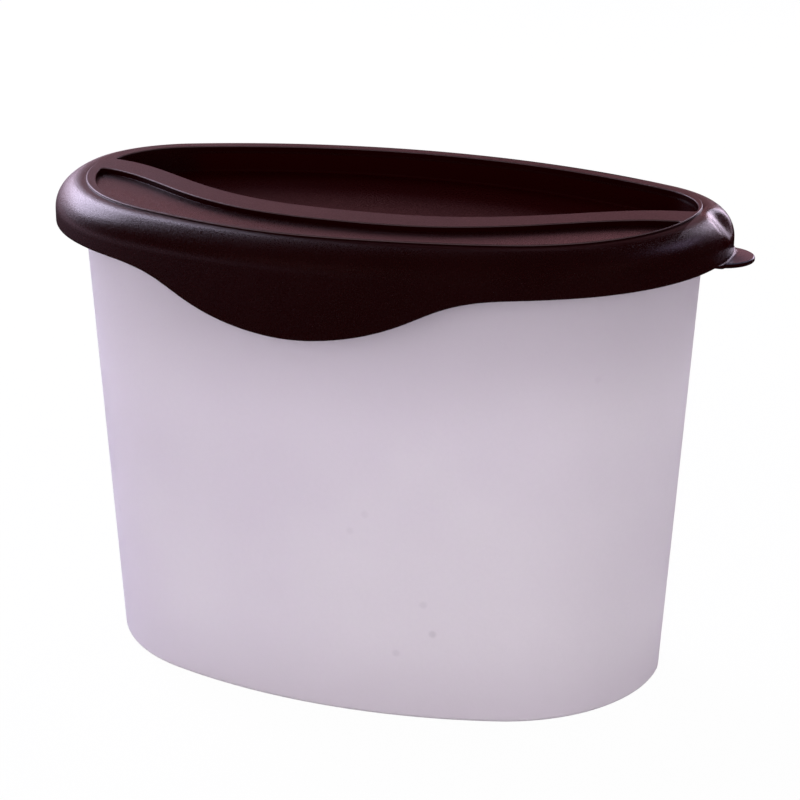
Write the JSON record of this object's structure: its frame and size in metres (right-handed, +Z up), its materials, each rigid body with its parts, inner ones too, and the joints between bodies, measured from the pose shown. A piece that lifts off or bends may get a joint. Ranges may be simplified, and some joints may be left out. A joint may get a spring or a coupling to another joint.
{
  "type": "coffee canister",
  "caption": "Oval tapered coffee canister with a press-on domed lid that has a bowed ridge, a pull tab, a thumb scoop and a front skirt that droops in a wave.",
  "frame": {"origin": "in the plane that the base stands on, under the middle of the line that joins the two ends of the oval", "axes": "+Z up, +X along the long axis towards the pull tab, -Y towards the front, where the lid's skirt droops"},
  "size_m": [0.1978, 0.1166, 0.1359],
  "materials": {
    "frosted_wall": "translucent frosted polypropylene",
    "dark_lid": "satin moulded polyethylene"
  },
  "bodies": {
    "canister": {"canister_body": "frosted_wall"},
    "lid": {"lid": "dark_lid"}
  },
  "joints": [
    {"name": "lid_lift", "type": "slide", "parent": "canister", "child": "lid", "axis": [0, 0, 1], "range_m": [0, 0.04]}
  ]
}
